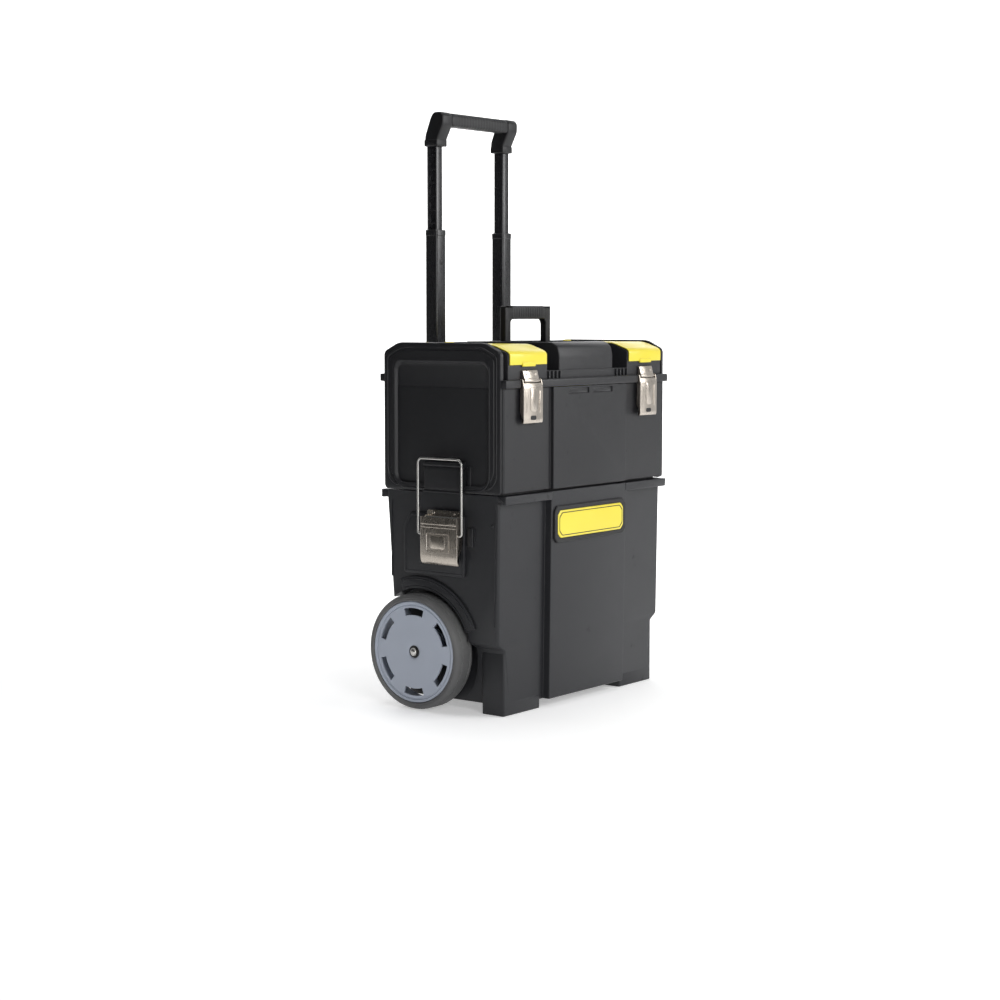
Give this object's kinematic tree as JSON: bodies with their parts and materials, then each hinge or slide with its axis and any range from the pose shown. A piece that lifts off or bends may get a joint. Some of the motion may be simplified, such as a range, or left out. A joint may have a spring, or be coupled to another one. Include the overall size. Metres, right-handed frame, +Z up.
{
  "type": "rolling tool box",
  "caption": "Wheeled bin with a lift-off latched tool box riding on it, hinged organizer covers in the lid and a two-stage telescopic pull handle.",
  "frame": {"origin": "centre of the bounding box's base, on the floor", "axes": "+X along the wheel axle, to the right of someone facing the front; +Y from the front (badge and front latches) to the rear (pull handle); +Z up"},
  "size_m": [0.477, 0.26, 0.9168],
  "materials": {
    "bin_shell": "fine-grained moulded, dark grey",
    "box_shell": "fine-grained moulded, charcoal",
    "black_plastic": "satin moulded black",
    "grip_rubber": "finely ribbed soft grip",
    "yellow_plastic": "semi-gloss moulded yellow",
    "tray_plastic": "moulded grey",
    "hub_plastic": "satin moulded blue-grey",
    "tyre_rubber": "matt with a fine tread",
    "pole_metal": "dark anodised",
    "bright_steel": "zinc plated",
    "nickel": "bright nickel plate"
  },
  "bodies": {
    "base": {"lower_bin": "bin_shell", "badge_bezel": "black_plastic", "badge_plate": "yellow_plastic", "wheel_axle": "bright_steel", "handle_backplate": "black_plastic", "wheel_spacer_left": "black_plastic", "wheel_spacer_right": "black_plastic", "axle_cap_left": "bright_steel", "axle_cap_right": "bright_steel", "pole_sleeve_left": "black_plastic", "pole_sleeve_right": "black_plastic", "side_latch_base_left": "nickel", "side_latch_base_right": "nickel", "side_latch_pin_left": "bright_steel", "side_latch_pin_right": "bright_steel"},
    "handle_outer": {"outer_pole_left": "pole_metal", "outer_pole_right": "pole_metal"},
    "handle_inner": {"inner_pole_left": "pole_metal", "inner_pole_right": "pole_metal", "grip_corner_left": "black_plastic", "grip_corner_right": "black_plastic", "grip_bar": "grip_rubber"},
    "tool_box": {"tool_box_body": "box_shell", "lid_hinge_pin": "bright_steel", "latch_keeper_left": "bright_steel", "latch_keeper_right": "bright_steel", "tray_rest_left": "box_shell", "tray_rest_right": "box_shell"},
    "tray": {"inner_tray": "tray_plastic"},
    "lid": {"lid": "box_shell", "bail_stud_left": "bright_steel", "bail_stud_right": "bright_steel", "latch_mount_left": "nickel", "latch_mount_right": "nickel", "latch_pin_left": "bright_steel", "latch_pin_right": "bright_steel"},
    "bail": {"carry_bail": "black_plastic"},
    "wheel_left": {"tyre_left": "tyre_rubber", "hub_left": "hub_plastic"},
    "button_left": {"lock_button_left": "black_plastic"},
    "cover_left": {"organizer_cover_left": "yellow_plastic"},
    "latch_left": {"latch_lever_left": "nickel"},
    "side_lever_left": {"side_latch_lever_left": "nickel"},
    "side_wire_left": {"side_latch_wire_left": "nickel"},
    "wheel_right": {"tyre_right": "tyre_rubber", "hub_right": "hub_plastic"},
    "button_right": {"lock_button_right": "black_plastic"},
    "cover_right": {"organizer_cover_right": "yellow_plastic"},
    "latch_right": {"latch_lever_right": "nickel"},
    "side_lever_right": {"side_latch_lever_right": "nickel"},
    "side_wire_right": {"side_latch_wire_right": "nickel"}
  },
  "joints": [
    {"name": "handle_outer_slide", "type": "slide", "parent": "base", "child": "handle_outer", "axis": [0, 0, 1], "range_m": [-0.174, 0]},
    {"name": "handle_inner_slide", "type": "slide", "parent": "handle_outer", "child": "handle_inner", "axis": [0, 0, 1], "range_m": [-0.128, 0]},
    {"name": "tool_box_lift", "type": "slide", "parent": "base", "child": "tool_box", "axis": [0, 0, 1], "range_m": [0, 0.2]},
    {"name": "tray_lift", "type": "slide", "parent": "tool_box", "child": "tray", "axis": [0, 0, 1], "range_m": [0, 0.025]},
    {"name": "lid_hinge", "type": "hinge", "parent": "tool_box", "child": "lid", "pos_m": [0, 0.07505, 0.5552], "axis": [-1, 0, 0], "range_deg": [0, 90]},
    {"name": "bail_fold", "type": "hinge", "parent": "lid", "child": "bail", "pos_m": [0, 0.00155, 0.532], "axis": [1, 0, 0], "range_deg": [0, 90]},
    {"name": "wheel_left_spin", "type": "hinge", "parent": "base", "child": "wheel_left", "pos_m": [-0.218, 0.03845, 0.089], "axis": [1, 0, 0], "continuous": true},
    {"name": "button_left_press", "type": "slide", "parent": "handle_outer", "child": "button_left", "axis": [0, 1, 0], "range_m": [0, 0.0016], "stiffness_N_per_m": 400},
    {"name": "cover_left_hinge", "type": "hinge", "parent": "lid", "child": "cover_left", "pos_m": [-0.157, 0.05505, 0.5576], "axis": [-1, 0, 0], "range_deg": [0, 95]},
    {"name": "latch_left_flip", "type": "hinge", "parent": "lid", "child": "latch_left", "pos_m": [-0.156, -0.12495, 0.503], "axis": [-1, 0, 0], "range_deg": [0, 85]},
    {"name": "side_lever_left_pull", "type": "hinge", "parent": "base", "child": "side_lever_left", "pos_m": [-0.229, -0.01345, 0.297], "axis": [0, 1, 0], "range_deg": [0, 95]},
    {"name": "side_wire_left_swing", "type": "hinge", "parent": "side_lever_left", "child": "side_wire_left", "pos_m": [-0.235, -0.01345, 0.272], "axis": [0, 1, 0], "range_deg": [-95, 0]},
    {"name": "wheel_right_spin", "type": "hinge", "parent": "base", "child": "wheel_right", "pos_m": [0.218, 0.03845, 0.089], "axis": [1, 0, 0], "continuous": true},
    {"name": "button_right_press", "type": "slide", "parent": "handle_outer", "child": "button_right", "axis": [0, 1, 0], "range_m": [0, 0.0016], "stiffness_N_per_m": 400},
    {"name": "cover_right_hinge", "type": "hinge", "parent": "lid", "child": "cover_right", "pos_m": [0.157, 0.05505, 0.5576], "axis": [-1, 0, 0], "range_deg": [0, 95]},
    {"name": "latch_right_flip", "type": "hinge", "parent": "lid", "child": "latch_right", "pos_m": [0.156, -0.12495, 0.503], "axis": [-1, 0, 0], "range_deg": [0, 85]},
    {"name": "side_lever_right_pull", "type": "hinge", "parent": "base", "child": "side_lever_right", "pos_m": [0.229, -0.01345, 0.297], "axis": [0, -1, 0], "range_deg": [0, 95]},
    {"name": "side_wire_right_swing", "type": "hinge", "parent": "side_lever_right", "child": "side_wire_right", "pos_m": [0.235, -0.01345, 0.272], "axis": [0, -1, 0], "range_deg": [-95, 0]}
  ],
  "couplings": [
    {"joint": "side_wire_left_swing", "follows": "side_lever_left_pull", "ratio": -1},
    {"joint": "side_wire_right_swing", "follows": "side_lever_right_pull", "ratio": -1}
  ]
}
